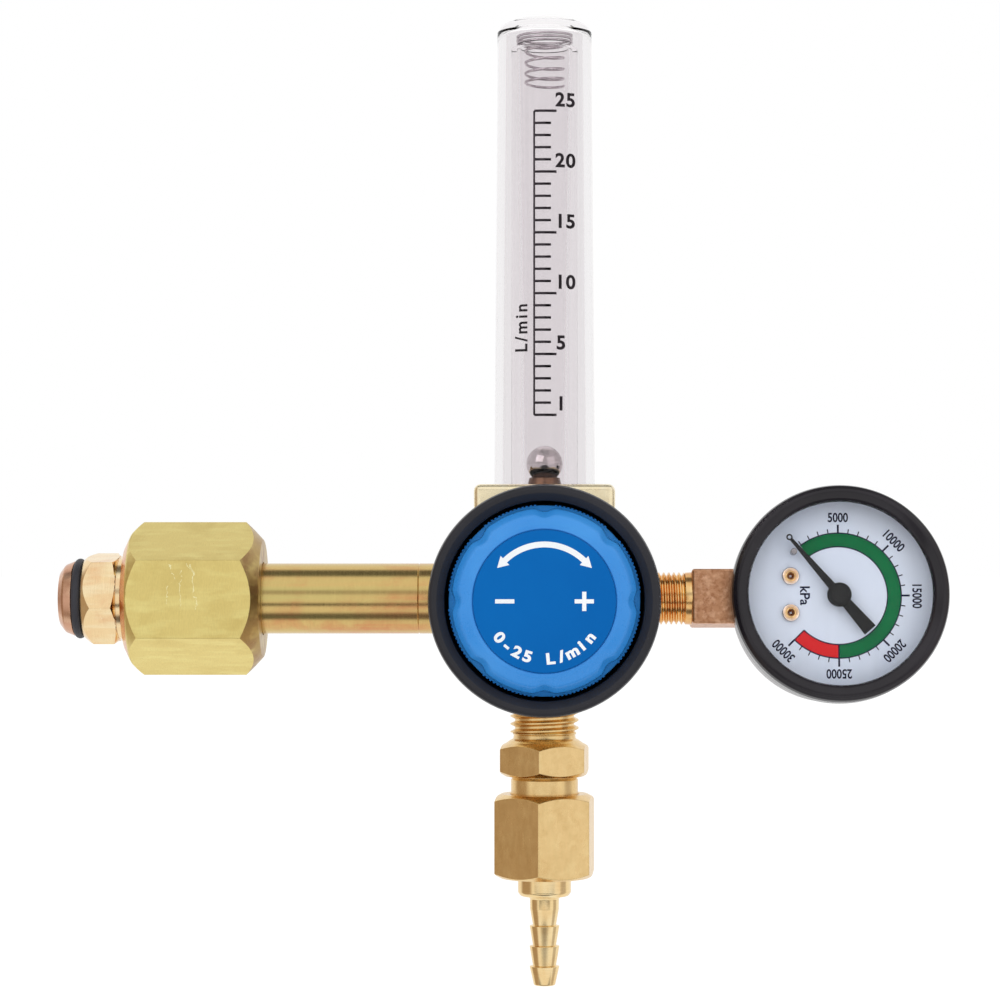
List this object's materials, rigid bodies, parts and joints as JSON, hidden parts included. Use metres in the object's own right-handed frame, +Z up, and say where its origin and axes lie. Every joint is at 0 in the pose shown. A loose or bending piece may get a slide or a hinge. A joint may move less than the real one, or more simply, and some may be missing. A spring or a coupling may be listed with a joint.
{
  "type": "gas regulator with flow meter",
  "caption": "Gas cylinder regulator with hexagon inlet nut and stem, front knob in a guard ring, upright ball flow meter, barbed outlet and a round pressure gauge.",
  "frame": {"origin": "centre of the inlet nipple's nose face, where the regulator is held by the cylinder valve", "axes": "+X from the inlet nose along the stem towards the gauge, +Z up along the flow tube, -Y towards the knob and the dial"},
  "size_m": [0.2259, 0.0747, 0.248],
  "materials": {
    "nut_brass": "machined, drawn grain",
    "stem_brass": "turned, bright",
    "nose_brass": "turned, polished",
    "cast_brass": "forged, satin",
    "outlet_brass": "turned and pickled",
    "socket_brass": "forged, mottled",
    "steel": "polished",
    "spring_steel": "drawn wire",
    "black_rubber": "matt",
    "guard_black": "satin",
    "knob_blue": "gloss",
    "label_blue": "printed film",
    "clear_plastic": "clear, moulded",
    "black_gloss": "gloss",
    "case_grey": "satin",
    "dial_white": "printed",
    "pointer_black": "matt",
    "bronze": "sintered",
    "white_seal": "plain"
  },
  "bodies": {
    "regulator": {"inlet_nipple": "nose_brass", "nipple_o_ring": "black_rubber", "inlet_filter": "bronze", "inlet_stem": "stem_brass", "body": "cast_brass", "seat_nozzle": "steel", "poppet_spring": "spring_steel", "back_plug": "outlet_brass", "diaphragm": "black_rubber", "slip_ring": "outlet_brass", "main_spring": "spring_steel", "thrust_washer": "white_seal", "bonnet": "cast_brass", "guard_ring": "guard_black", "ball_seat": "outlet_brass", "cover_gasket": "black_rubber", "metering_tube": "clear_plastic", "tube_cover": "clear_plastic", "bumper_spring": "spring_steel", "outlet_adapter": "outlet_brass", "outlet_jet": "steel", "outlet_nut": "outlet_brass", "hose_tail": "outlet_brass", "gauge_socket": "socket_brass", "gauge_case": "case_grey", "gauge_bezel": "black_gloss", "gauge_lens": "clear_plastic", "lens_gasket": "black_rubber", "dial_plate": "dial_white", "dial_screw_1": "outlet_brass", "dial_screw_2": "outlet_brass", "zero_stop_pin": "outlet_brass", "bourdon_tube": "outlet_brass", "movement_front_plate": "outlet_brass", "movement_back_plate": "outlet_brass"},
    "inlet_nut": {"inlet_nut": "nut_brass"},
    "knob": {"knob": "knob_blue", "knob_label": "label_blue", "knob_screw": "steel", "adjusting_screw": "steel"},
    "spring_nut": {"spring_nut": "outlet_brass"},
    "valve": {"valve_poppet": "outlet_brass", "diaphragm_plate": "case_grey"},
    "flow_ball": {"flow_ball": "steel"},
    "sector": {"sector_gear": "outlet_brass"},
    "link": {"gauge_link": "case_grey"},
    "pointer": {"pointer": "pointer_black", "pinion": "outlet_brass"}
  },
  "joints": [
    {"name": "inlet_nut_spin", "type": "hinge", "parent": "regulator", "child": "inlet_nut", "pos_m": [0.03, 0, 0], "axis": [1, 0, 0], "continuous": true},
    {"name": "knob_turn", "type": "hinge", "parent": "regulator", "child": "knob", "pos_m": [0.1238, 0, 0], "axis": [0, 1, 0], "range_deg": [0, 1260]},
    {"name": "spring_nut_travel", "type": "slide", "parent": "regulator", "child": "spring_nut", "axis": [0, 1, 0], "range_m": [0, 0.00438], "deforming": ["main_spring"]},
    {"name": "valve_lift", "type": "slide", "parent": "regulator", "child": "valve", "axis": [0, 1, 0], "range_m": [0, 0.0008], "deforming": ["diaphragm", "poppet_spring"]},
    {"name": "ball_rise", "type": "slide", "parent": "regulator", "child": "flow_ball", "axis": [0, 0, 1], "range_m": [0, 0.091]},
    {"name": "sector_turn", "type": "hinge", "parent": "regulator", "child": "sector", "pos_m": [0.1984, -0.00105, -0.00995], "axis": [0, 0.9945, -0.1045], "range_deg": [-29.5, 0], "stiffness_Nm_per_rad": 0.002, "deforming": ["bourdon_tube"]},
    {"name": "link_swing", "type": "hinge", "parent": "sector", "child": "link", "pos_m": [0.1934, -0.0011, -0.01044], "axis": [0, 0.9945, -0.1045], "range_deg": [0, 29.5]},
    {"name": "pointer_turn", "type": "hinge", "parent": "regulator", "child": "pointer", "pos_m": [0.1984, 0, 0], "axis": [0, 0.9945, -0.1045], "range_deg": [0, 265.5]}
  ],
  "couplings": [
    {"joint": "spring_nut_travel", "follows": "knob_turn", "m_per_rad": 0.00019894},
    {"joint": "valve_lift", "follows": "knob_turn", "m_per_rad": 0.000036378},
    {"joint": "pointer_turn", "follows": "sector_turn", "ratio": -9},
    {"joint": "link_swing", "follows": "sector_turn", "ratio": -1}
  ]
}
